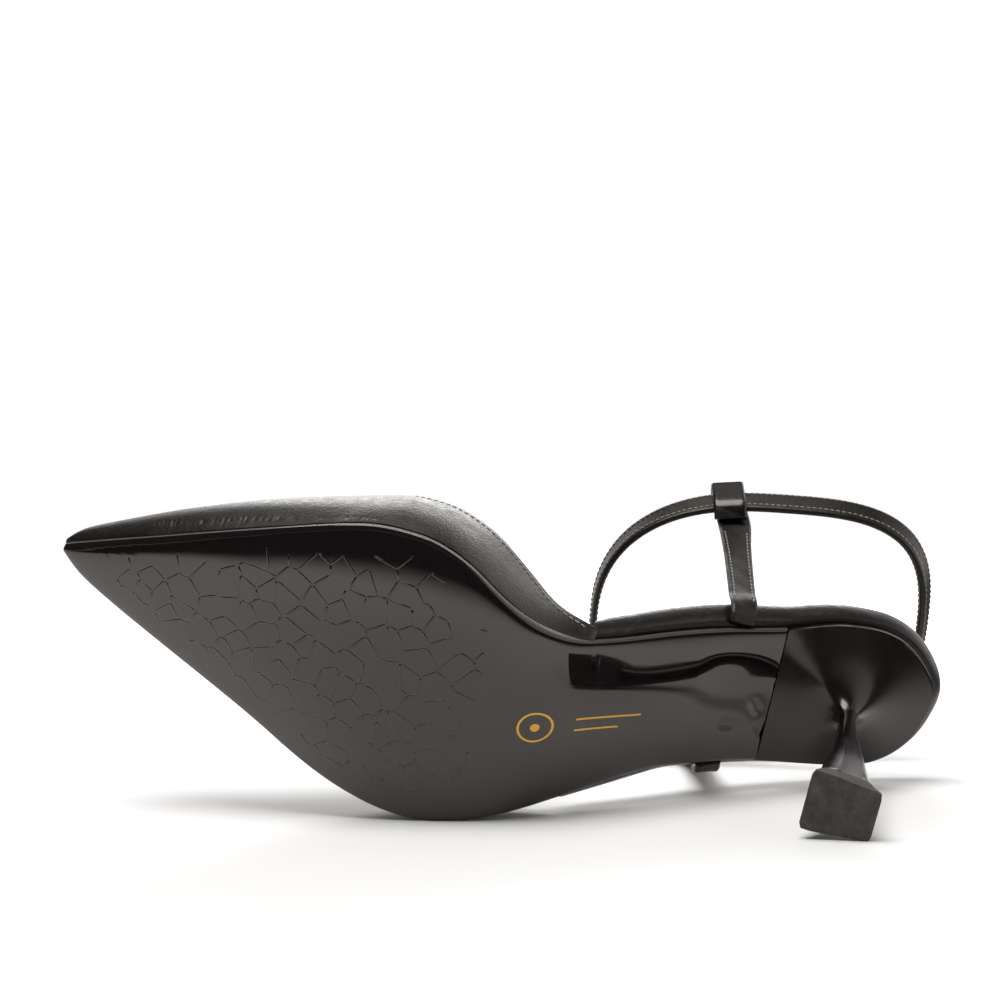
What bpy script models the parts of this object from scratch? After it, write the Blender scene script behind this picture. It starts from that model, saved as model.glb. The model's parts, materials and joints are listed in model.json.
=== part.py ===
"""Open-waist pump with a slim flared heel and an ankle strap, lying on its outer side.

Sizes are in millimetres in the shoe frame: x runs from the back of the seat to the toe,
y to the inner side of the foot and z up from the ground that heel and ball stand on.
"""
import math

import bmesh
import bpy
import mathutils
import numpy as np

MM = 0.001
GAP = 0.3

# Lying pose: the floor's upward direction in the shoe frame
FLOOR_UP = (0.262, 0.928, 0.265)

# Outsole plan and side view, a row per station
# columns: x, inner edge y, outer edge y, edge height, thickness, crown of the underside
SOLE = (
    (0.9, 3.4, 1.6, 75.5, 2.4, 0.0),
    (1.1, 4.8, 0.0, 75.5, 2.4, 0.0),
    (2.2, 8.0, -5.3, 75.2, 2.4, 0.0),
    (4.0, 10.9, -10.0, 74.9, 2.4, 0.0),
    (6.5, 14.0, -13.7, 74.3, 2.4, 0.0),
    (10.0, 17.4, -17.1, 73.4, 2.4, 0.0),
    (15.0, 20.3, -19.9, 71.9, 2.4, 0.0),
    (22.0, 22.0, -21.2, 69.3, 2.4, 0.0),
    (30.0, 22.2, -21.6, 65.8, 2.4, 0.2),
    (38.0, 21.0, -21.6, 61.9, 2.4, 0.6),
    (45.0, 19.4, -21.4, 58.1, 2.2, 1.2),
    (54.0, 19.0, -21.7, 52.2, 2.0, 1.9),
    (62.0, 19.1, -21.7, 45.5, 2.0, 2.4),
    (70.0, 19.0, -21.5, 38.2, 2.0, 2.7),
    (78.0, 18.4, -23.2, 31.0, 2.0, 2.8),
    (87.0, 17.5, -26.1, 23.0, 2.0, 2.8),
    (94.0, 17.3, -28.4, 16.6, 2.0, 2.7),
    (100.0, 18.6, -30.4, 11.5, 2.0, 2.6),
    (107.0, 22.0, -32.9, 7.0, 2.0, 2.5),
    (116.0, 28.0, -35.8, 4.3, 2.1, 2.4),
    (125.0, 34.4, -38.3, 3.3, 2.3, 2.7),
    (131.0, 37.2, -39.0, 2.9, 2.3, 2.8),
    (138.0, 39.1, -38.5, 2.6, 2.3, 2.8),
    (147.0, 39.4, -36.5, 2.3, 2.3, 2.7),
    (155.0, 38.2, -33.8, 2.2, 2.3, 2.6),
    (165.0, 35.4, -29.0, 2.0, 2.3, 2.4),
    (176.0, 31.9, -23.0, 2.0, 2.3, 2.2),
    (192.0, 26.5, -15.7, 2.6, 2.3, 1.8),
    (207.0, 21.1, -9.6, 3.9, 2.3, 1.4),
    (225.0, 14.5, -2.5, 6.2, 2.3, 0.9),
    (234.0, 11.1, 1.5, 7.6, 2.3, 0.6),
    (238.0, 9.6, 4.2, 8.3, 2.3, 0.4),
    (240.0, 8.7, 6.2, 8.7, 2.3, 0.3),
)
SOLE_EDGE_ROUND = 0.7
SOLE_SHOULDER = 0.9
BREAST_X = 45.0
SEAT_BACK_X = 0.9

# Covered insole with its wrapped rim, a row per station
# columns: x, reach of the underside past the sole edge, reach of the rim, thickness, dish
INSOLE = (
    (0.9, 0.0, 2.2, 8.0, 1.4),
    (22.0, 0.0, 2.6, 8.4, 2.4),
    (45.0, 0.0, 4.0, 8.6, 2.6),
    (68.0, 0.0, 4.4, 8.4, 2.5),
    (80.0, 0.0, 4.3, 8.2, 2.3),
    (88.0, -0.2, 3.8, 7.8, 2.0),
    (94.3, -0.4, 3.2, 7.2, 1.8),
    (94.5, -2.6, -2.2, 7.1, 1.8),
    (100.0, -3.0, -2.4, 6.0, 1.1),
    (114.0, -3.0, -2.8, 3.2, 0.1),
    (228.0, -3.0, -2.9, 2.8, 0.0),
)
INSOLE_TOE_X = 227.0
RIM_END_X = 94.3
STEP = 0.2
# profile of the rim from underside to top: columns: share of reach, share of thickness
RIM = ((0.0, 0.0), (0.5, 0.12), (0.86, 0.36), (1.0, 0.62), (0.86, 0.86), (0.45, 0.98), (-0.1, 1.0))

# Vamp, a row per station
# columns: x, height over the sole, sideways bulge, height of the bulge
VAMP = (
    (92.0, 72.0, 4.2, 12.0),
    (100.0, 69.2, 3.2, 12.6),
    (107.0, 67.0, 2.3, 13.0),
    (116.0, 63.0, 1.9, 13.4),
    (125.0, 59.0, 1.9, 13.6),
    (138.0, 52.0, 2.1, 13.6),
    (147.0, 47.0, 2.3, 13.4),
    (155.0, 43.0, 2.3, 13.0),
    (165.0, 38.0, 3.0, 12.4),
    (176.0, 33.0, 3.7, 11.6),
    (192.0, 27.0, 4.4, 10.2),
    (207.0, 22.0, 4.4, 8.6),
    (225.0, 17.0, 3.4, 6.0),
    (234.0, 13.4, 2.8, 4.4),
    (238.0, 11.0, 2.4, 3.4),
    (240.0, 8.8, 1.7, 2.6),
    (241.2, 5.4, 0.5, 1.6),
)
VAMP_WALL = 1.8
VAMP_TOE_X = 241.2
VAMP_TOE_INSIDE_X = 229.0
VAMP_RIDGE_SHIFT = 3.0
THROAT_X = 159.0
VAMP_END_X = 94.8
# topline behind the throat: columns: x, share of the girth that the wall keeps on each side
TOPLINE = ((94.8, 0.042), (96.0, 0.054), (102.5, 0.09), (110.0, 0.115), (117.0, 0.128), (126.0, 0.137),
           (135.0, 0.15), (147.0, 0.187), (152.0, 0.235), (155.5, 0.3), (158.0, 0.4), (159.0, 0.5))

# Heel stem, a row per level
# columns: z, centre x, half length, half width in front, half width behind, squareness
STEM = (
    (6.3, 23.9, 6.9, 6.9, 5.8, 5.0),
    (12.0, 23.9, 6.2, 6.3, 5.4, 3.2),
    (20.0, 23.9, 5.4, 5.6, 5.0, 2.7),
    (28.0, 23.9, 4.6, 4.8, 4.4, 2.4),
    (38.0, 23.9, 3.3, 3.7, 3.5, 2.2),
    (47.0, 23.8, 2.5, 2.9, 2.8, 2.1),
    (54.0, 23.7, 2.2, 2.5, 2.5, 2.0),
)
# flare under the seat: columns: share of the way from stem to seat outline, depth under the seat
FLARE = ((0.03, 11.4), (0.09, 9.2), (0.2, 7.0), (0.38, 4.9), (0.62, 3.0), (0.82, 1.5), (0.94, 0.6), (1.0, 0.0))
HEEL_TABLE_X = 23.7

# Top piece: columns: z, centre x, half length, half width in front, half width behind, squareness
TOP_PIECE = (
    (0.0, 23.9, 8.5, 8.4, 6.6, 14.0),
    (1.2, 23.9, 8.4, 8.3, 6.5, 13.0),
    (6.0, 24.0, 7.0, 7.0, 5.9, 6.0),
)

# Ankle strap ring: half lengths, half widths, squareness of its inner half ahead and behind
RING_CENTRE = (53.44, -1.31, 107.59)
RING_AHEAD = 51.2
RING_BEHIND = 49.5
RING_INNER = 42.3
RING_OUTER = 43.1
RING_SQUARE = (2.4, 3.4)
RING_PUSH = 24.4
RING_TURN = math.radians(-7.4)
RING_STEP = math.radians(3.0)
RING_FALL = 0.2
RING_WIDTH = 8.0
RING_THICK = 2.0
RING_LEAN = (math.radians(14.0), math.radians(12.0))

# Side straps, with the angle on the ring where each loop sits
STRAP_WIDTH = 7.9
LOOP_WIDTH = 9.8
STRAP_THICK = 1.8
STRAP_BASE_X = 57.8
STRAP_LOOP = {"medial": math.radians(79.2), "lateral": math.radians(263.2)}
STRAP_FOLD_END = 7.5
# foot of a side strap: columns: share of the rim's reach, share of the rim's thickness
STRAP_FOOT = ((0.1, -0.06), (0.62, 0.1), (0.98, 0.34), (1.08, 0.6), (1.14, 0.9))
STRAP_EASE = 0.3
STRAP_FREE = 3.5
STRAP_SET_BACK = 1.2

# Buckle on the outer side of the ring
BUCKLE_AT = math.radians(296.0)
BUCKLE_HALF = (6.5, 6.2)
BUCKLE_BAR = 0.9
PRONG_BAR = 0.7


def smooth(xs, ys, x):
    """Values at x of a monotone cubic through the rows (xs, ys)."""
    xs, ys, x = np.asarray(xs, float), np.asarray(ys, float), np.asarray(x, float)
    step = np.diff(xs)
    slope = np.diff(ys) / step
    tangent = np.zeros_like(ys)
    same = slope[:-1] * slope[1:] > 0
    w1, w2 = 2 * step[1:] + step[:-1], step[1:] + 2 * step[:-1]
    safe = np.where(same, slope[:-1], 1.0), np.where(same, slope[1:], 1.0)
    tangent[1:-1] = np.where(same, (w1 + w2) / (w1 / safe[0] + w2 / safe[1]), 0.0)
    tangent[0], tangent[-1] = slope[0], slope[-1]
    i = np.clip(np.searchsorted(xs, x) - 1, 0, len(step) - 1)
    t = (x - xs[i]) / step[i]
    h = step[i]
    return ((2 * t**3 - 3 * t**2 + 1) * ys[i] + (t**3 - 2 * t**2 + t) * h * tangent[i]
            + (-2 * t**3 + 3 * t**2) * ys[i + 1] + (t**3 - t**2) * h * tangent[i + 1])


def column(table, number, x):
    """One column of a table, interpolated at x."""
    rows = np.array(table)
    return smooth(rows[:, 0], rows[:, number], np.clip(x, rows[0, 0], rows[-1, 0]))


def slope_at(table, number, x, reach=0.05):
    """Slope of a table column at x."""
    rows = np.array(table)
    a, b = max(x - reach, rows[0, 0]), min(x + reach, rows[-1, 0])
    return float((column(table, number, b) - column(table, number, a)) / (b - a))


def edge_height(x):
    """Height of the sole edge over the ground."""
    return float(column(SOLE, 3, x))


def steepness(x):
    """Factor that turns a thickness square to the sole into a height."""
    return math.hypot(1.0, slope_at(SOLE, 3, x))


def sole_top(x):
    """Height of the upper face of the sole."""
    return edge_height(x) + float(column(SOLE, 4, x)) * steepness(x)


def edge_point(x, side, reach):
    """Plan point at a reach square to the sole edge; side is 1 inner, -1 outer."""
    number = 1 if side > 0 else 2
    y, slant = float(column(SOLE, number, x)), slope_at(SOLE, number, x)
    size = math.hypot(1.0, slant)
    return x - side * reach * slant / size, y + side * reach / size


def loft(loops, paired=False):
    """Closed body through equal loops, with a face on both ends or strips between paired points."""
    count = len(loops[0])
    verts = [tuple(p) for loop in loops for p in loop]
    faces = []
    for row in range(len(loops) - 1):
        for k in range(count):
            a, b = row * count + k, row * count + (k + 1) % count
            faces.append((a, b, b + count, a + count))
    for first in (0, (len(loops) - 1) * count):
        if not paired:
            faces.append(tuple(range(first, first + count)))
            continue
        for k in range((count - 1) // 2):
            a, b = first + k, first + count - 1 - k
            faces.append((a, a + 1, b - 1, b) if a + 1 < b - 1 else (a, a + 1, b))
    return verts, faces


def ring_body(loops):
    """Closed ring-shaped body through equal loops of points."""
    count, rows = len(loops[0]), len(loops)
    verts = [tuple(p) for loop in loops for p in loop]
    faces = []
    for row in range(rows):
        for k in range(count):
            a, b = row * count + k, row * count + (k + 1) % count
            c, d = ((row + 1) % rows) * count + (k + 1) % count, ((row + 1) % rows) * count + k
            faces.append((a, b, c, d))
    return verts, faces


def stations(first, last, count, crowd_first=False, crowd_last=False):
    """Station positions from first to last, closer together at the ends that are asked for."""
    t = np.linspace(0.0, 1.0, count)
    if crowd_first and crowd_last:
        t = 0.5 - 0.5 * np.cos(math.pi * t)
    elif crowd_first:
        t = 1.0 - np.cos(0.5 * math.pi * t)
    elif crowd_last:
        t = np.sin(0.5 * math.pi * t)
    return first + (last - first) * t


def belly(x, y):
    """Depth of the crowned underside below the sole edge."""
    inner, outer = float(column(SOLE, 1, x)), float(column(SOLE, 2, x))
    share = min(1.0, abs(2.0 * y - inner - outer) / (inner - outer))
    return float(column(SOLE, 5, x)) * (1.0 - share**2)


def outsole():
    """Outsole from the heel breast to the toe, with a crowned underside that is flat at the ball."""
    loops = []
    xs = np.r_[stations(BREAST_X + GAP, 190.0, 34), stations(194.0, 240.0, 14, crowd_last=True)]
    for x in xs:
        z, crown = edge_height(x), float(column(SOLE, 5, x))
        inner, outer = edge_point(x, 1, 0.0)[1], edge_point(x, -1, 0.0)[1]
        cut = min(SOLE_EDGE_ROUND, 0.2 * (inner - outer))
        loop = []
        for share in np.linspace(0.0, 1.0, 11):
            y = outer + cut + (inner - outer - 2 * cut) * share
            low = z - crown * (1.0 - (2.0 * share - 1.0) ** 2)
            loop.append((x, y, max(low, 0.0)))
        top, shoulder = sole_top(x), z + SOLE_SHOULDER * cut
        loop += [(x, inner, shoulder), (x, inner, top), (x, outer, top), (x, outer, shoulder)]
        loops.append(loop)
    return loft(loops)


def insole():
    """Leather-covered insole: a thick rounded rim behind the waist, a thin board inside the vamp."""
    loops = []
    xs = np.r_[stations(SEAT_BACK_X, BREAST_X, 14, crowd_first=True), stations(49.0, RIM_END_X, 13),
               stations(RIM_END_X + STEP, 222.0, 24), [INSOLE_TOE_X]]
    for x in xs:
        low_reach, rim_reach = float(column(INSOLE, 1, x)), float(column(INSOLE, 2, x))
        thick, dish = float(column(INSOLE, 3, x)) * steepness(x), float(column(INSOLE, 4, x))
        base = sole_top(x) + GAP * steepness(x)
        sides = {}
        for side in (-1, 1):
            sides[side] = []
            for share, level in RIM:
                reach = low_reach + (rim_reach - low_reach) * share
                px, py = edge_point(x, side, reach)
                sides[side].append((px, py, base + thick * level))
        loop = list(sides[1])
        a, b = sides[1][-1], sides[-1][-1]
        for share in (0.15, 0.32, 0.5, 0.68, 0.85):
            sunk = dish * (1.0 - (2.0 * share - 1.0) ** 2) ** 0.8
            loop.append((a[0] + (b[0] - a[0]) * share, a[1] + (b[1] - a[1]) * share, a[2] - sunk))
        loop += sides[-1][::-1]
        loops.append(loop)
    return loft(loops, paired=True)


def vamp_point(x, girth, inset):
    """Point of the vamp at a share of the girth, moved inwards by the inset."""
    inner = float(column(SOLE, 1, x)) + 0.2 - inset
    outer = float(column(SOLE, 2, x)) - 0.2 + inset
    middle, half = 0.5 * (inner + outer), max(0.5 * (inner - outer), 0.4)
    height = float(column(VAMP, 1, x)) - inset
    bulge, level = float(column(VAMP, 2, x)), float(column(VAMP, 3, x))
    wide = half + bulge
    tuck = math.acos(half / wide)
    angle = -tuck + girth * (math.pi + 2 * tuck)
    under = math.sin(angle)
    base = sole_top(min(x, 240.0)) + GAP
    if under < 0:
        z = base + level * (1.0 + under / math.sin(tuck))
    else:
        z = base + level + (height - level) * under
    lift = max(under, 0.0)
    shift = VAMP_RIDGE_SHIFT * lift * min(1.0, half / 25.0)
    return x, middle + wide * math.cos(angle) + shift, z


def vamp():
    """Vamp: one wall of leather, open at the topline and underneath, split behind the throat."""
    half, front = 11, 15
    shares = np.linspace(0.0, 1.0, half + 1) ** 0.9
    behind = THROAT_X - (THROAT_X - VAMP_END_X) * np.linspace(0.0, 1.0, 19)[1:] ** 1.6
    rows = front + 1 + len(behind)
    verts, numbers, faces = [], {}, []
    for layer, (start, inset) in enumerate(((VAMP_TOE_X, 0.0), (VAMP_TOE_INSIDE_X, VAMP_WALL))):
        ahead = start + (THROAT_X - start) * np.linspace(0.0, 1.0, front + 1) ** 1.7
        for row, x in enumerate(np.r_[ahead, behind]):
            keep = float(column(TOPLINE, 1, x)) if row > front else 0.5
            for side in (0, 1):
                for k, share in enumerate(shares):
                    if side and k == half and row <= front:
                        numbers[layer, row, side, k] = numbers[layer, row, 0, k]
                        continue
                    numbers[layer, row, side, k] = len(verts)
                    verts.append(vamp_point(x, abs(side - keep * share), inset))

    def add(*corners):
        faces.append(tuple(numbers[corner] for corner in corners))

    for side in (0, 1):
        for row in range(rows - 1):
            for k in range(half):
                for layer in (0, 1):
                    add((layer, row, side, k), (layer, row, side, k + 1),
                        (layer, row + 1, side, k + 1), (layer, row + 1, side, k))
            edges = (0, half) if row >= front else (0,)
            for k in edges:
                add((0, row, side, k), (0, row + 1, side, k), (1, row + 1, side, k), (1, row, side, k))
        last = rows - 1
        for k in range(half):
            add((0, last, side, k), (0, last, side, k + 1), (1, last, side, k + 1), (1, last, side, k))
    for layer in (0, 1):
        add(*[(layer, 0, 0, k) for k in range(half + 1)], *[(layer, 0, 1, k) for k in range(half)][::-1])
    add((0, 0, 0, 0), (1, 0, 0, 0), (1, 0, 1, 0), (0, 0, 1, 0))
    return verts, faces


def block_point(row, angle):
    """Plan point of a heel section with soft corners, wider in front than behind."""
    _, middle, long, front, back, power = row
    c, s = math.cos(angle), math.sin(angle)
    wide = back + (front - back) * 0.5 * (1.0 + c)
    r = (abs(c / long) ** power + abs(s / wide) ** power) ** (-1.0 / power)
    return middle + r * c, r * s


def seat_outline():
    """Plan outline of the heel seat: straight breast, then round the back."""
    xs = stations(SEAT_BACK_X, BREAST_X, 15, crowd_first=True)
    inner = [edge_point(x, 1, 0.0) for x in xs]
    outer = [edge_point(x, -1, 0.0) for x in xs]
    breast = [(BREAST_X, y) for y in np.linspace(outer[-1][1], inner[-1][1], 11)]
    return outer[:-1] + breast + inner[:-1][::-1]


def heel():
    """Heel: wide thin seat that sweeps into a slim stem, flaring again towards the ground."""
    plan = seat_outline()
    angles = [math.atan2(y, x - HEEL_TABLE_X) for x, y in plan]
    loops = [[(*block_point(row, a), row[0]) for a in angles] for row in STEM]
    tip = STEM[-1]
    for share, depth in FLARE:
        loop = []
        for (x, y), a in zip(plan, angles):
            sx, sy = block_point(tip, a)
            px, py = sx + (x - sx) * share, sy + (y - sy) * share
            loop.append((px, py, edge_height(px) - depth - belly(px, py)))
        loops.append(loop)
    loops.append([(x, y, sole_top(x)) for x, y in plan])
    return loft(loops)


def top_piece():
    """Top piece under the heel, a block with soft corners on the ground."""
    angles = [2 * math.pi * k / 48 for k in range(48)]
    return loft([[(*block_point(row, a), row[0]) for a in angles] for row in TOP_PIECE])


def ring_place(angle):
    """Centre line of the ankle strap: squared off on the inner half, pushed ahead on the outer half."""
    ahead, aside = math.cos(angle), math.sin(angle)
    half = RING_AHEAD if ahead > 0 else RING_BEHIND
    if aside > 0:
        power = 2.0 / (RING_SQUARE[0] if ahead > 0 else RING_SQUARE[1])
        u = half * math.copysign(abs(ahead) ** power, ahead)
        v = RING_INNER * aside**power
    else:
        u = half * ahead + RING_PUSH * aside**2
        v = RING_OUTER * aside
    c, s = math.cos(RING_TURN), math.sin(RING_TURN)
    return np.array(RING_CENTRE) + (c * u - s * v, s * u + c * v, RING_FALL * (s * v - c * u))


def ring_frame(angle):
    """Centre, tangent, width direction and outward direction of the ankle strap at an angle."""
    tangent = ring_place(angle + RING_STEP) - ring_place(angle - RING_STEP)
    tangent /= np.linalg.norm(tangent)
    out = np.array((tangent[1], -tangent[0], 0.0)) / math.hypot(tangent[0], tangent[1])
    lean = RING_LEAN[0] + RING_LEAN[1] * out[1]
    up = np.array((0.0, 0.0, math.cos(lean))) + out * math.sin(lean)
    up -= tangent * float(up @ tangent)
    up /= np.linalg.norm(up)
    return ring_place(angle), tangent, up, np.cross(tangent, up)


def flat_band(place, across, out, width, thick):
    """Loop of a leather band section with softened edges."""
    w, t, soft = 0.5 * width, 0.5 * thick, 0.35 * thick
    shape = ((-w, -t + soft), (-w + soft, -t), (w - soft, -t), (w, -t + soft),
             (w, t - soft), (w - soft, t), (-w + soft, t), (-w, t - soft))
    return [tuple(place + across * a + out * b) for a, b in shape]


def ankle_strap():
    """Ankle strap: one closed ring of leather."""
    loops = []
    for k in range(60):
        place, _, up, out = ring_frame(2 * math.pi * k / 60)
        loops.append(flat_band(place, up, out, RING_WIDTH, RING_THICK))
    return ring_body(loops)


def side_strap(name):
    """Side strap from the rim up to the ankle strap, folded over it into a loop."""
    side = 1 if name == "medial" else -1
    place, tangent, up, out = ring_frame(STRAP_LOOP[name])
    along = tangent * -side
    stand = 0.5 * RING_THICK + GAP + STRAP_EASE + 0.5 * STRAP_THICK
    crest = 0.5 * RING_WIDTH + 0.6
    x = STRAP_BASE_X
    base, thick = sole_top(x) + GAP * steepness(x), float(column(INSOLE, 3, x)) * steepness(x)
    reach = float(column(INSOLE, 2, x))
    low = place - out * stand - up * (0.5 * RING_WIDTH + STRAP_FREE) - (STRAP_SET_BACK, 0.0, 0.0)
    path = []
    for share, level in STRAP_FOOT:
        z = base + thick * level
        climbed = max(0.0, (z - base) / (low[2] - base))
        _, py = edge_point(x, side, reach * share + GAP + 0.5 * STRAP_THICK)
        path.append(np.array((x + (low[0] - x) * climbed, py, z)))
    foot = path[-1]
    path += [foot + (low - foot) * share for share in (0.25, 0.5, 0.75, 1.0)]
    path.append(place - out * stand + up * crest)
    for turn in (30, 60, 90, 120, 150):
        a = math.radians(turn)
        path.append(place + up * (crest + stand * math.sin(a)) - out * stand * math.cos(a))
    path += [place + out * stand + up * crest, place + out * stand - up * 3.6,
             place + out * (STRAP_THICK + GAP - stand + 0.15) - up * STRAP_FOLD_END]
    steps = 3
    points = curve_through(path, steps)
    slant = slope_at(SOLE, 3, x)
    first = np.array((1.0, 0.0, slant)) / math.hypot(1.0, slant)
    leave, meet = steps * (len(STRAP_FOOT) - 1), steps * (len(STRAP_FOOT) + 3)
    loops = []
    for k, point in enumerate(points):
        ahead = points[min(k + 1, len(points) - 1)] - points[max(k - 1, 0)]
        ahead /= np.linalg.norm(ahead)
        share = min(1.0, max(0.0, (k - leave) / (meet - leave)))
        across = first * (1.0 - share) + along * share
        across -= ahead * float(across @ ahead)
        across /= np.linalg.norm(across)
        width = STRAP_WIDTH + (LOOP_WIDTH - STRAP_WIDTH) * share**3
        loops.append(flat_band(point, across, np.cross(ahead, across), width, STRAP_THICK))
    return loft(loops)


def curve_through(path, steps):
    """Points along a smooth curve through the path."""
    path = [np.asarray(p, float) for p in path]
    points = []
    for k in range(len(path) - 1):
        a, b = path[max(k - 1, 0)], path[k]
        c, d = path[k + 1], path[min(k + 2, len(path) - 1)]
        for t in np.arange(steps) / steps:
            points.append(0.5 * (2 * b + (c - a) * t + (2 * a - 5 * b + 4 * c - d) * t**2
                                 + (3 * b - a - 3 * c + d) * t**3))
    points.append(path[-1])
    return points


def round_bar(path, normal, radius, closed, sides=8):
    """Round bar bent along a path that lies square to the normal."""
    loops, count = [], len(path)
    for k, point in enumerate(path):
        if closed:
            ahead = path[(k + 1) % count] - path[k - 1]
        else:
            ahead = path[min(k + 1, count - 1)] - path[max(k - 1, 0)]
        across = np.cross(ahead / np.linalg.norm(ahead), normal)
        turns = [2 * math.pi * s / sides for s in range(sides)]
        loops.append([tuple(point + radius * (math.cos(a) * across + math.sin(a) * normal)) for a in turns])
    return ring_body(loops) if closed else loft(loops)


def buckle_frame():
    """Buckle frame on the outer face of the ankle strap."""
    place, tangent, up, out = ring_frame(BUCKLE_AT)
    centre = place + out * (0.5 * RING_THICK + GAP + BUCKLE_BAR)
    path = []
    for k in range(32):
        a = 2 * math.pi * k / 32
        c, s = math.cos(a), math.sin(a)
        r = (abs(c / BUCKLE_HALF[0]) ** 5 + abs(s / BUCKLE_HALF[1]) ** 5) ** -0.2
        path.append(centre + tangent * r * c + up * r * s)
    return round_bar(path, out, BUCKLE_BAR, True)


def buckle_prong():
    """Buckle prong between the bars of the frame."""
    place, tangent, up, out = ring_frame(BUCKLE_AT)
    reach = BUCKLE_HALF[0] - BUCKLE_BAR - GAP
    lift = 0.5 * RING_THICK + GAP + BUCKLE_BAR
    path = [place + out * lift + tangent * t for t in np.linspace(-reach, reach, 7)]
    return round_bar(path, out, PRONG_BAR, False)


# columns: colour, roughness, metal
FINISHES = {
    "gloss_sole": ((0.012, 0.012, 0.013, 1.0), 0.18, 0.0),
    "satin_leather": ((0.022, 0.022, 0.024, 1.0), 0.45, 0.0),
    "satin_heel": ((0.02, 0.02, 0.022, 1.0), 0.35, 0.0),
    "matte_rubber": ((0.05, 0.05, 0.052, 1.0), 0.75, 0.0),
    "buckle_metal": ((0.55, 0.55, 0.57, 1.0), 0.25, 1.0),
}

# columns: maker of the piece, finish
PIECES = {
    "outsole": (outsole, "gloss_sole"),
    "insole": (insole, "satin_leather"),
    "upper": (vamp, "satin_leather"),
    "heel": (heel, "satin_heel"),
    "top_piece": (top_piece, "matte_rubber"),
    "ankle_strap": (ankle_strap, "satin_leather"),
    "side_strap_medial": (lambda: side_strap("medial"), "satin_leather"),
    "side_strap_lateral": (lambda: side_strap("lateral"), "satin_leather"),
    "buckle_frame": (buckle_frame, "buckle_metal"),
    "buckle_prong": (buckle_prong, "buckle_metal"),
}


def finish(name):
    """Principled material for a finish, made once."""
    material = bpy.data.materials.get(name)
    if material is None:
        colour, rough, metal = FINISHES[name]
        material = bpy.data.materials.new(name)
        material.use_nodes = True
        shader = material.node_tree.nodes["Principled BSDF"]
        shader.inputs["Base Color"].default_value = colour
        shader.inputs["Roughness"].default_value = rough
        shader.inputs["Metallic"].default_value = metal
        material.diffuse_color = colour
    return material


def closed_mesh(name, verts, faces):
    """Mesh with every face turned outwards."""
    mesh = bpy.data.meshes.new(name)
    mesh.from_pydata([tuple(v) for v in verts * MM], [], faces)
    work = bmesh.new()
    work.from_mesh(mesh)
    bmesh.ops.recalc_face_normals(work, faces=work.faces[:])
    if work.calc_volume(signed=True) < 0:
        bmesh.ops.reverse_faces(work, faces=work.faces[:])
    for face in work.faces:
        face.smooth = True
    work.to_mesh(mesh)
    work.free()
    return mesh


def lying_axes():
    """World axes as rows in the shoe frame: toe to -x, underside to -y, inner side up."""
    up = np.array(FLOOR_UP) / np.linalg.norm(FLOOR_UP)
    depth = np.array((0.0, 0.0, 1.0))
    depth = depth - up * float(depth @ up)
    depth /= np.linalg.norm(depth)
    return np.array((np.cross(depth, up), depth, up))


def main():
    """Build every piece in the shoe frame and lay the shoe on its outer side."""
    for item in list(bpy.data.objects):
        bpy.data.objects.remove(item, do_unlink=True)
    bodies = {}
    for name, (maker, _) in PIECES.items():
        verts, faces = maker()
        bodies[name] = (np.asarray(verts, float), faces)
    axes = lying_axes()
    laid = np.vstack([verts for verts, _ in bodies.values()]) @ axes.T
    low, high = laid.min(axis=0), laid.max(axis=0)
    shoe = bpy.data.objects.new("shoe", None)
    bpy.context.scene.collection.objects.link(shoe)
    shoe.rotation_mode = "QUATERNION"
    shoe.rotation_quaternion = mathutils.Matrix([list(row) for row in axes]).to_quaternion()
    shoe.location = [-0.5 * (low[0] + high[0]) * MM, -0.5 * (low[1] + high[1]) * MM, -low[2] * MM]
    for name, (_, look) in PIECES.items():
        verts, faces = bodies[name]
        mesh = closed_mesh(name, verts, faces)
        mesh.materials.append(finish(look))
        piece = bpy.data.objects.new(name, mesh)
        bpy.context.scene.collection.objects.link(piece)
        piece.parent = shoe
    bpy.context.view_layer.update()


if __name__ == "__main__":
    main()
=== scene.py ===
"""Looks of a pointed open-waist pump with a slim flared heel, lying on its outer side.

Each piece is a finer copy of a solid of the frame, or trim laid on one: stitches, the
crackle emboss of the sole and a small foil ornament. Sizes are millimetres in the shoe
frame (x to the toe, y to the inner side of the foot, z up from the ground that heel and
ball stand on). They turn to metres of the world frame in one place, the class Lie.
"""
from __future__ import annotations

import json
import logging
import math
import random
from collections.abc import Callable, Iterator
from contextlib import contextmanager
from dataclasses import dataclass
from enum import Enum
from itertools import product

import bmesh
import bpy
import numpy as np
from mathutils import Matrix, Vector
from mathutils.bvhtree import BVHTree
from mathutils.geometry import delaunay_2d_cdt

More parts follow.
